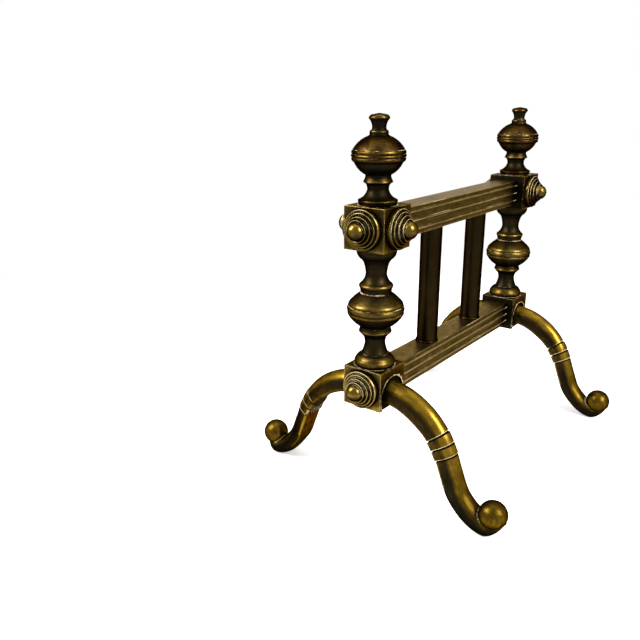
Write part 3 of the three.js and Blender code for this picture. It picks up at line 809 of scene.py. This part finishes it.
class AddRosettes(AndironOperator):
    """Turn the eight stepped rosettes"""

    bl_idname = "andiron.rosettes"
    bl_label = "Rosettes"

    def execute(self, context):
        finish = brass_finish("rosette_brass_worn", self.colours, 0.52, 0.45, 0.5, gloss=0.05)
        foot = [(0, -SPIGOT_LENGTH), (SPIGOT_RADIUS, -SPIGOT_LENGTH)]
        foot += [(SPIGOT_RADIUS, 0), (ROSETTE_SEAT_RADIUS, 0)]
        for end, level in POST_BLOCKS:
            low, high = box_mm(f"{level}_block_{end}")
            for side, angle in rosette_angles(end, level).items():
                name = f"rosette_{level}_{end}_{side}"
                bm = turned(foot, ROSETTE_MOULDINGS, [], self.turning, ROSETTE_STEPS, ROSETTE_RIDGE_LIGHT)
                facing = outward(angle, high.x - ROSETTE_SINK, (low.z + high.z) / 2)
                placing = post_place(end) @ facing
                set_piece(bm, f"brass_{name}", name, finish, placing)
        return {"FINISHED"}


def graded_block(low, high, cutters, dimples):
    """A block with eased edges, cut by its seats, with fine faces near its edges and its tone marked.

    dimples lists the middles of its round seats, with their radius, for the dark ring round them,
    and how pale their rim is.
    """
    bm = block_between(low, high)
    easing = {"affect": "EDGES", "segments": 2, "profile": 0.5, "material": -1}
    bmesh.ops.bevel(bm, geom=bm.edges[:], offset=BLOCK_EASE, offset_type="OFFSET", **easing)
    bm = combined(bm, cutters, "DIFFERENCE")
    middle = (low + high) / 2
    half = (high - low) / 2
    # A bright gold patch on the end face, by its lower corner on the own +X side.
    gold_patch_corner = Vector((high.x * 0.75, low.y, low.z))
    for axis in range(3):
        normal = Vector([1.0 if index == axis else 0.0 for index in range(3)])
        for inset in BLOCK_GRADES:
            for side in (-1, 1):
                place = middle + normal * side * (half[axis] - inset)
                geometry = bm.verts[:] + bm.edges[:] + bm.faces[:]
                bmesh.ops.bisect_plane(
                    bm, geom=geometry, dist=1e-4, plane_co=place, plane_no=normal
                )
    bmesh.ops.dissolve_degenerate(bm, dist=1e-3, edges=bm.edges[:])
    rims = [edge for edge in bm.edges if edge.is_boundary]
    if rims:
        bmesh.ops.holes_fill(bm, edges=rims, sides=0)
        bmesh.ops.recalc_face_normals(bm, faces=bm.faces[:])
    for vert in bm.verts:
        gaps = sorted(half[axis] - abs(vert.co[axis] - middle[axis]) for axis in range(3))
        on_face = gaps[0] < BLOCK_EASE + 0.01
        edge = math.exp(-max(0, gaps[1]) / 0.9) if on_face else 0
        corner = math.exp(-max(0, gaps[2]) / 5) if on_face else 0
        ring = rim = 0
        for place, radius, pale in dimples:
            away = abs((vert.co - place).length - radius)
            ring = max(ring, math.exp(-away / 1.2))
            if on_face and away < 0.2:
                rim = pale
        corner += 3.2 * math.exp(-(vert.co - gold_patch_corner).length / 2.8)
        # Painted shade in the tone below: on the face that the rail meets, and on all that lies off the
        # outer faces, inside the seats and holes.
        inner = 1.2 if on_face and vert.co.y > high.y - 0.32 else 0
        tone = 1.1 * edge + 0.5 * corner - (0.1 if on_face else 1) - 0.3 * ring - inner
        mark(bm, vert, max(-1, min(1.8, tone)), 0.85 if edge > 0.75 else rim)
    return bm


class AddBlocks(AndironOperator):
    """Cut the four square blocks"""

    bl_idname = "andiron.blocks"
    bl_label = "Blocks"

    def seat(self, placing, radius, depth, hole_radius, hole_depth, hole_up=0):
        """Cutters for a round seat in a face, and for a hole in its floor, raised by hole_up."""
        hole = bar(hole_radius, -depth - hole_depth, 0.5, HOLE_STEPS)
        raised = placing @ Matrix.Translation((-hole_up, 0, 0))
        return [placed(bar(radius, -depth, 1, SEAT_STEPS, SEAT_CHAMFER), placing), placed(hole, raised)]

    def tools(self, end, level, low, high):
        """The cutters of a block in its post's frame, and the marks round its seats."""
        middle = (low.z + high.z) / 2
        cutters, dimples = [], []
        for angle in rosette_angles(end, level).values():
            face = outward(angle, high.x, middle)
            spigot_hole = SPIGOT_RADIUS + CLEARANCE
            cutters += self.seat(
                face, ROSETTE_RECESS_RADIUS, ROSETTE_RECESS_DEPTH, spigot_hole, SPIGOT_LENGTH
            )
            dimples.append((face.translation, ROSETTE_RECESS_RADIUS, 0))
        if level == "lower":
            hole = (STUD_RADIUS + CLEARANCE, STUD_IN_BLOCK, LEG_ROOT_RISE - LEG_RECESS_RISE)
            for angle in SIDES[end].values():
                face = outward(angle, high.x, low.z + LEG_RECESS_RISE)
                cutters += self.seat(face, LEG_RECESS_RADIUS, LEG_RECESS_DEPTH, *hole)
                dimples.append((face.translation, LEG_RECESS_RADIUS, 1.2))
            cutters.append(bar(COUNTERBORE_RADIUS, low.z - 1, low.z + COUNTERBORE_DEPTH))
        ring = FOOT_LINE_RADII[level]
        shallow, deep = high.z - FOOT_LINE_DEPTH, high.z - 2 * FOOT_LINE_DEPTH
        cutters.append(bar(ring + FOOT_LINE_WIDTH, shallow, high.z + 1, SEAT_STEPS))
        cutters.append(bar(ring, deep, high.z + 1, SEAT_STEPS))
        dimples.append((Vector((0, 0, high.z)), ring, 1.1))
        cutters.append(bar(ROD_BORE_RADIUS, low.z - 2, high.z + 2, HOLE_STEPS))
        across, tall = TENON_WIDTH / 2 + CLEARANCE, TENON_HEIGHT / 2 + CLEARANCE
        inner_corner = (-across, -TENON_PAST_AXIS - CLEARANCE, middle - tall)
        cutters.append(block_between(inner_corner, (across, high.y + 1, middle + tall)))
        return cutters, dimples

    def execute(self, context):
        look = {"mottle": 0.6, "residue_and_ridge_light": 1.0, "tarnish": 0.1, "sheen": 0.5}
        finish = brass_finish("block_brass_worn", self.colours, 0.44, **look)
        for end, level in POST_BLOCKS:
            node = f"{level}_block_{end}"
            low, high = box_mm(node)
            half = (high.x - low.x) / 2
            own_low = Vector((-half, -half, low.z))
            own_high = Vector((half, half, high.z))
            bm = graded_block(own_low, own_high, *self.tools(end, level, own_low, own_high))
            set_piece(bm, f"brass_{node}", node, finish, post_place(end), 32, wiped=0)
        return {"FINISHED"}


def rail_outline():
    """A rail's section, as (out, up, tone, crease): one side from bottom to top, then the other."""
    half, top, ease = RAIL_WIDTH / 2, RAIL_HEIGHT / 2, RAIL_EASE
    rows = [
        (half - 3.5, -top, 0, 0),
        (half - 1.2, -top, 0.1, 0),
        (half - ease, -top, 0.6, 0.4),
        (half - ease * 0.3, -top + ease * 0.3, 1, 0.9),
        (half, -top + ease, 0.8, 0.4),
    ]
    last_reed = (REED_COUNT - 1) / 2 * REED_PITCH
    hollow_from = -top + RAIL_EDGE
    for reed in range(REED_COUNT + 1):
        middle = reed * REED_PITCH - last_reed
        hollow_to = middle - REED_WIDTH / 2 if reed < REED_COUNT else top - RAIL_EDGE
        for step in range(1, 8):
            share = step / 8
            sag = FLUTE_DEPTH * math.sin(math.pi * share)
            up = blend_between(hollow_from, hollow_to, share)
            rows.append((half - sag, up, -0.1 - 0.45 * sag, 0))
        if reed < REED_COUNT:
            rows.append((half + 0.02, hollow_to, -0.8, 0.75))
            for step in range(1, 8):
                angle = math.pi * step / 8
                out = half + REED_PROUD * math.sin(angle)
                up = middle - REED_WIDTH / 2 * math.cos(angle)
                # The pale line along the top of each reed is a painted highlight.
                rows.append((out, up, 0.2 + 0.8 * math.sin(angle), 0.8 if step == 4 else 0))
            hollow_from = middle + REED_WIDTH / 2
            rows.append((half + 0.02, hollow_from, -0.8, 0.75))
    rows += [
        (half, top - ease, 0.8, 0.4),
        (half - ease * 0.3, top - ease * 0.3, 1, 0.9),
        (half - ease, top, 0.6, 0.4),
        # These top rows sit a little lighter than the bottom's: painted light on the rail's top.
        (half - 1.2, top, 0.3, 0),
        (half - 3.5, top, 0.1, 0),
    ]
    return rows + [(-out, up, tone, crease) for out, up, tone, crease in reversed(rows)]


def rail_ring(outline, place, stop):
    """A rail's section at a place: painted shade in its hollows, painted highlights on its reeds by the
    rear.
    """
    near = smooth_step(place, stop - 9, stop - 2)
    ring = []
    for out, up, tone, crease in outline:
        proud = abs(out) - RAIL_WIDTH / 2
        # Near the rear block: painted highlight on the reeds, painted shade in the hollows between
        # them.
        if proud > 0.3:
            crease += near
        elif proud > -1:
            tone -= 2.2 * near
            crease *= 1 - near
        ring.append(((out, place, up), tone, crease))
    return ring


class AddRails(AndironOperator):
    """Draw the two reeded rails"""

    bl_idname = "andiron.rails"
    bl_label = "Rails"

    def execute(self, context):
        look = {"streak": (2.4, 0.11, 2.4), "tarnish": 0.5, "sheen": 0.75, "kind": "rail_"}
        finish = brass_finish("rail_brass_worn", self.colours, 0.62, 0.45, 0.55, **look)
        outline = rail_outline()
        for level, socket_side in (("upper", -1), ("lower", 1)):
            name = f"rail_{level}"
            low, high = box_mm(name)
            start = box_mm(f"{level}_block_front")[1].y
            stop = box_mm(f"{level}_block_rear")[0].y
            places = [blend_between(start, stop, step / RAIL_STEPS) for step in range(RAIL_STEPS + 1)]
            bm = lofted([rail_ring(outline, place, stop) for place in places])
            holes = []
            for end in ENDS:
                post = post_place(end)
                own = box_mm(f"{level}_block_{end}")
                half = (own[1].x - own[0].x) / 2
                inner_corner = (-TENON_WIDTH / 2, -TENON_PAST_AXIS, -TENON_HEIGHT / 2)
                tenon = block_between(inner_corner, (TENON_WIDTH / 2, half + 0.5, TENON_HEIGHT / 2))
                bm = combined(bm, [placed(tenon, post)], "UNION")
                rod_hole = bar(ROD_BORE_RADIUS, -TENON_HEIGHT, TENON_HEIGHT, HOLE_STEPS)
                holes.append(placed(rod_hole, post))
            face = socket_side * RAIL_HEIGHT / 2
            inner = face - socket_side * (SPINDLE_TENON_LENGTH + CLEARANCE)
            floor, mouth = sorted((inner, face + socket_side * CLEARANCE))
            for spindle in SPINDLES:
                own = box_mm(spindle)
                hole = bar(SPINDLE_TENON_RADIUS + CLEARANCE, floor, mouth, HOLE_STEPS)
                holes.append(placed(hole, Matrix.Translation((0, (own[0].y + own[1].y) / 2, 0))))
            bm = combined(bm, holes, "DIFFERENCE")
            placing = Matrix.Translation((0, 0, (low.z + high.z) / 2))
            set_piece(bm, f"brass_{name}", name, finish, placing, 38)
        return {"FINISHED"}


class AddSpindles(AndironOperator):
    """Turn the two plain spindles"""

    bl_idname = "andiron.spindles"
    bl_label = "Spindles"

    def execute(self, context):
        finish = spindle_finish("dark_brass_spindle", self.colours)
        foot = [(0, 0), (SPINDLE_TENON_RADIUS, 0), (SPINDLE_TENON_RADIUS, SPINDLE_TENON_LENGTH)]
        foot.append((SPINDLE_RING_RADIUS, SPINDLE_TENON_LENGTH))
        for node in SPINDLES:
            low, high = box_mm(node)
            length = high.z - low.z
            shaft = length - 2 * SPINDLE_TENON_LENGTH - SPINDLE_RING_HEIGHT
            mouldings = [
                (SPINDLE_RING_RADIUS, SPINDLE_RING_HEIGHT, 0.1),
                (SPINDLE_RADIUS, 0, 0),
                (SPINDLE_RADIUS, shaft, 0),
                (SPINDLE_TENON_RADIUS, 0, 0),
                (SPINDLE_TENON_RADIUS, SPINDLE_TENON_LENGTH, 0),
            ]
            bm = turned(foot, mouldings, [(0, length)], self.turning, SPINDLE_STEPS)
            placing = Matrix.Translation((0, (low.y + high.y) / 2, low.z))
            set_piece(bm, f"dark_{node}", node, finish, placing)
        return {"FINISHED"}


# ---- Legs ---------------------------------------------------------------------------------------


def leg_line():
    """Points along the leg's middle line, as (distance, parameter, point)."""
    reach = LEG_REACH - LEG_ROOT_OUT
    fall = LEG_ROOT_HEIGHT - LEG_TIP_HEIGHT
    knots = [
        Vector((LEG_ROOT_OUT + out * reach, LEG_ROOT_HEIGHT - drop * fall)) for out, drop, _ in LEG_LINE
    ]
    knots = [2 * knots[0] - knots[1], *knots, 2 * knots[-1] - knots[-2]]
    line, distance, steps = [], 0, 40
    for span in range(1, len(knots) - 2):
        before, start, end, after = knots[span - 1 : span + 3]
        gaps = [math.sqrt((b - a).length) for a, b in ((before, start), (start, end), (end, after))]
        leave = (
            (start - before) / gaps[0]
            - (end - before) / (gaps[0] + gaps[1])
            + (end - start) / gaps[1]
        ) * gaps[1]
        arrive = (
            (end - start) / gaps[1]
            - (after - start) / (gaps[1] + gaps[2])
            + (after - end) / gaps[2]
        ) * gaps[1]
        for step in range(steps + (span == len(knots) - 3)):
            t = step / steps
            point = (
                start * (2 * t**3 - 3 * t**2 + 1)
                + leave * (t**3 - 2 * t**2 + t)
                + end * (3 * t**2 - 2 * t**3)
                + arrive * (t**3 - t**2)
            )
            if line:
                distance += (point - line[-1][2]).length
            line.append((distance, span - 1 + t, point))
    return line


def at_distance(line, distance):
    """The parameter, point and direction at a distance along the line."""
    index = 1
    while index < len(line) - 1 and line[index][0] < distance:
        index += 1
    before, after = line[index - 1], line[index]
    share = (distance - before[0]) / (after[0] - before[0])
    return (
        blend_between(before[1], after[1], share),
        before[2].lerp(after[2], share),
        (after[2] - before[2]).normalized(),
    )


def depth_at(parameter):
    """The section's depth, on a smooth curve through those of the line's points."""
    depths = [depth for _, _, depth in LEG_LINE]
    span = min(int(parameter), len(depths) - 2)
    t = parameter - span
    start, end = depths[span], depths[span + 1]
    before = depths[span - 1] if span else start
    after = depths[span + 2] if span + 2 < len(depths) else end
    leave, arrive = (end - before) / 2, (after - start) / 2
    return (
        (2 * start - 2 * end + leave + arrive) * t**3
        + (-3 * start + 3 * end - 2 * leave - arrive) * t**2
        + leave * t
        + start
    )


def leg_section(half_width, half_depth, roundness, count=28):
    """The leg's section: an arch over a flat underside with eased corners, rounding at the foot."""
    rows = []
    spring = (LEG_CORNER - half_depth) * (1 - roundness)
    for index in range(count + 1):
        angle = math.pi * index / count
        rows.append((half_width * math.cos(angle), spring + (half_depth - spring) * math.sin(angle)))
    flat = blend_between(half_width - LEG_CORNER, half_width * 0.8, roundness)
    for index in range(13):
        share = index / 6 - 1
        dip = blend_between(1, math.sqrt(max(0, 1 - (share * 0.8) ** 2)), roundness)
        rows.append((flat * share, -half_depth * dip))
    return rows


GROOVES = [COLLAR_DISTANCE + index * COLLAR_BAND for index in range(COLLAR_GROOVES)]


def collar_swell(distance):
    """How far the surface stands out at the grooved collar."""
    band = COLLAR_SWELL if GROOVES[0] < distance < GROOVES[-1] else 0
    for groove in GROOVES:
        away = abs(distance - groove) / (COLLAR_GROOVE_WIDTH / 2)
        if away < 1:
            return blend_between(-COLLAR_GROOVE_DEPTH, band, away**1.5)
    return band


def leg_ring(line, distance):
    """The leg's section at a distance along its middle line, with its tones and creases."""
    parameter, middle, along = at_distance(line, distance)
    share = distance / line[-1][0]
    shrink = smooth_step(share, LEG_TIP_FROM, 1)
    swell = collar_swell(distance)
    half_depth = blend_between(depth_at(parameter), LEG_TIP_SIZE, shrink) / 2 + swell
    half_width = blend_between(LEG_WIDTH, LEG_TIP_SIZE, shrink) / 2 + swell
    section = leg_section(half_width, half_depth, smooth_step(share, LEG_ROUND_FROM, LEG_TIP_FROM))
    top = Vector((-along.y, along.x)) if distance else Vector((0, 1))
    groove = max(0, min(1, -swell / COLLAR_GROOVE_DEPTH * 1.4))
    lip = max(1 - abs(distance - place + 0.75) / 0.45 for place in GROOVES)
    band = 0.25 if swell > 0.9 * COLLAR_SWELL else 0
    foot = 0.4 * smooth_step(share, 0.42, 0.6) + 0.6 * smooth_step(share, 0.66, 0.84)
    ring = []
    for across, up in section:
        under = 1 if up < -0.8 * half_depth else 0
        rim = 1 if abs(across) > 0.93 * half_width and up < 0 else 0
        # Painted highlight along the leg's top, going to painted shade on its lower flanks; the tone
        # also darkens toward the foot.
        painted_ridge_light = 1.3 * smooth_step(max(0, up / half_depth), 0, 0.55) - 0.8
        worn = under * (1.7 if distance > GROOVES[-1] else 0.8)
        tone = painted_ridge_light + band + worn + 0.2 * rim - (1.2 + 1.4 * under) * groove - 0.85 * foot
        collar = 0.5 if under and GROOVES[0] < distance < GROOVES[-1] and not groove else 0
        place = (middle.x + top.x * up, across, middle.y + top.y * up)
        ring.append((place, tone, max((1.6 - 0.8 * under) * lip, collar)))
    return ring


def leg_bmesh():
    """A right-hand leg about its post's axis."""
    line = leg_line()
    length = line[-1][0]
    distances = [0.0]
    while distances[-1] < length - 0.01:
        here = distances[-1]
        near = any(abs(here - groove) < COLLAR_GROOVE_WIDTH for groove in GROOVES)
        distances.append(min(length, here + (0.15 if near else 0.9)))
    bm = lofted([leg_ring(line, distance) for distance in distances])
    centre = Vector((BALL_OUT, 0, BALL_HEIGHT))
    place = Matrix.Translation(centre)
    ball = new_bmesh()
    bmesh.ops.create_uvsphere(ball, u_segments=64, v_segments=40, radius=BALL_RADIUS, matrix=place)
    for vert in ball.verts:
        mark(ball, vert, BALL_TONE)
    root = Matrix.Translation((LEG_ROOT_OUT, 0, LEG_ROOT_HEIGHT)) @ Matrix.Rotation(math.pi / 2, 4, "Y")
    stud_hole = placed(bar(STUD_RADIUS + CLEARANCE, -CLEARANCE, STUD_IN_LEG + CLEARANCE, 24), root)
    bm = combined(combined(bm, [ball], "UNION"), [stud_hole], "DIFFERENCE")
    geometry = bm.verts[:] + bm.edges[:] + bm.faces[:]
    cut = bmesh.ops.bisect_plane(
        bm, geom=geometry, dist=1e-4, plane_co=(0, 0, 0), plane_no=(0, 0, -1), clear_outer=True
    )
    rim = [item for item in cut["geom_cut"] if isinstance(item, bmesh.types.BMEdge)]
    if rim:
        bmesh.ops.holes_fill(bm, edges=rim)
    for vert in bm.verts:
        away = (vert.co - centre).length - BALL_RADIUS
        if away < 0.02:
            mark(bm, vert, BALL_TONE)
        elif away < 2:
            inner = max(0, min(1, (BALL_OUT - 1 - vert.co.x) / 5))
            closeness = (1 - away / 2) * inner
            tone = vert[bm.verts.layers.float["tone"]]
            mark(bm, vert, tone + 0.5 * (1 - inner), 1.7 * closeness)
    return bm


class AddLegs(AndironOperator):
    """Cast the four cabriole legs"""

    bl_idname = "andiron.legs"
    bl_label = "Legs"

    def execute(self, context):
        look = {"streak": (0.5, 3, 0.5), "kind": "leg_"}
        finish = brass_finish("leg_brass_worn", self.colours, 0.68, 0.52, 0.5, **look)
        for end in ENDS:
            for side, angle in SIDES[end].items():
                node = f"leg_{end}_{side}"
                placing = post_place(end) @ Matrix.Rotation(angle, 4, "Z")
                name = f"brass_{node}"
                set_piece(leg_bmesh(), name, node, finish, placing, 32, 0.04, 0.2)
        return {"FINISHED"}


class FinishFastenings(AndironOperator):
    """Give the tie rods, nuts, washers and studs their steel"""

    bl_idname = "andiron.fastenings"
    bl_label = "Rods and nuts"

    def execute(self, context):
        finish = steel_finish("plain_steel_dull", self.colours)
        for name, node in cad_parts.items():
            if name.startswith(("tie_rod", "leg_stud")):
                node.data.materials.clear()
                node.data.materials.append(finish)
        return {"FINISHED"}


# ---- Stage --------------------------------------------------------------------------------------


class SetStage(bpy.types.Operator):
    """Lay the floor, hang the lamps and set the camera"""

    bl_idname = "andiron.stage"
    bl_label = "Stage"
    bl_options = {"REGISTER", "UNDO"}

    def lamp(self, name, place, size, power):
        data = bpy.data.lights.new(name, "AREA")
        data.shape = "RECTANGLE"
        data.size, data.size_y = size
        data.energy = power
        lamp = bpy.data.objects.new(name, data)
        lamp.location = place
        aim = Vector(LAMP_TARGET) - Vector(place)
        lamp.rotation_euler = aim.to_track_quat("-Z", "Y").to_euler()
        bpy.context.scene.collection.objects.link(lamp)

    def floor(self, settings):
        bm = bmesh.new()
        bmesh.ops.create_grid(bm, x_segments=4, y_segments=4, size=FLOOR_SIZE)
        floor = loose_object(bm, "floor")
        shader = material_shader("pale_floor")
        seen = shader.seen()
        diffuse = shader.node("ShaderNodeBsdfDiffuse", {}, {"Color": (*settings.floor, 1)}).value(0)
        glow = shader.node("ShaderNodeEmission", {}, {"Color": WHITE, "Strength": FLOOR_GLOW}).value(0)
        lit = shader.node("ShaderNodeAddShader", {}, {0: diffuse, 1: glow}).value(0)
        near = shader.node("ShaderNodeMixShader", {}, {0: seen, 1: diffuse, 2: lit}).value(0)
        place = shader.node("ShaderNodeTexCoord").value("Object")
        away = shader.node("ShaderNodeVectorMath", {"operation": "LENGTH"}, {0: place}).value("Value")
        far = seen * away.clamped(WHITE_FROM, WHITE_TO)
        white = shader.node("ShaderNodeEmission", {}, {"Color": WHITE, "Strength": 1.0}).value(0)
        surface = shader.node("ShaderNodeMixShader", {}, {0: far, 1: near, 2: white}).value(0)
        shader.node("ShaderNodeOutputMaterial", {}, {"Surface": surface})
        floor.data.materials.append(shader.owner)

    def surround(self, settings):
        world = bpy.data.worlds.new("surround")
        shader = Shader(world)
        dim, white = [
            shader.node("ShaderNodeBackground", {}, {"Color": WHITE, "Strength": strength}).value(0)
            for strength in (settings.surround, 1)
        ]
        mix = shader.node("ShaderNodeMixShader", {}, {0: shader.seen(), 1: dim, 2: white}).value(0)
        shader.node("ShaderNodeOutputWorld", {}, {"Surface": mix})
        bpy.context.scene.world = world

    def camera(self, settings):
        data = bpy.data.cameras.new("camera")
        data.lens = settings.lens
        data.sensor_width = SENSOR_WIDTH
        camera = bpy.data.objects.new("camera", data)
        forward = Vector(CAMERA_FORWARD).normalized()
        level = forward.cross(Vector((0, 0, 1))).normalized()
        right = (level - level.cross(forward) * CAMERA_ROLL).normalized()
        turn = Matrix((right, right.cross(forward), -forward)).transposed()
        camera.matrix_world = Matrix.Translation(CAMERA_PLACE) @ turn.to_4x4()
        bpy.context.scene.collection.objects.link(camera)
        bpy.context.scene.camera = camera

    def execute(self, context):
        settings = context.scene.andiron_stage
        self.floor(settings)
        self.surround(settings)
        self.camera(settings)
        self.lamp("soft_box_left", (-0.62, -0.72, 0.78), SOFT_BOX_SIZE, settings.side_lamp)
        self.lamp("soft_box_right", (0.98, -0.12, 0.78), SOFT_BOX_SIZE, settings.side_lamp)
        self.lamp("soft_box_top", (0, 0, 1.1), TOP_LAMP_SIZE, settings.top_lamp)
        context.scene.view_settings.view_transform = "Standard"
        return {"FINISHED"}


class AndironPanel(bpy.types.Panel):
    """The andiron's pieces and settings"""

    bl_idname = "VIEW3D_PT_andiron"
    bl_label = "Andiron"
    bl_space_type = "VIEW_3D"
    bl_region_type = "UI"
    bl_category = "Andiron"

    def draw(self, context):
        layout = self.layout
        for group in ("andiron_turning", "andiron_finish", "andiron_stage"):
            settings = getattr(context.scene, group)
            column = layout.column(align=True)
            for name in settings.__annotations__:
                column.prop(settings, name)
        for operator in OPERATORS:
            layout.operator(operator.bl_idname)


OPERATORS = (
    AddFinials,
    AddBalusters,
    AddRosettes,
    AddBlocks,
    AddRails,
    AddSpindles,
    AddLegs,
    FinishFastenings,
    SetStage,
)
SETTINGS = {
    "andiron_turning": TurningSettings,
    "andiron_finish": FinishSettings,
    "andiron_stage": StageSettings,
}


def register():
    for settings in SETTINGS.values():
        bpy.utils.register_class(settings)
    for name, settings in SETTINGS.items():
        setattr(bpy.types.Scene, name, PointerProperty(type=settings))
    for operator in OPERATORS:
        bpy.utils.register_class(operator)
    bpy.utils.register_class(AndironPanel)


def unregister():
    bpy.utils.unregister_class(AndironPanel)
    for operator in reversed(OPERATORS):
        bpy.utils.unregister_class(operator)
    for name in SETTINGS:
        delattr(bpy.types.Scene, name)
    for settings in SETTINGS.values():
        bpy.utils.unregister_class(settings)


def main():
    register()
    for operator in OPERATORS:
        group, name = operator.bl_idname.split(".")
        getattr(getattr(bpy.ops, group), name)()


if __name__ == "__main__":
    main()
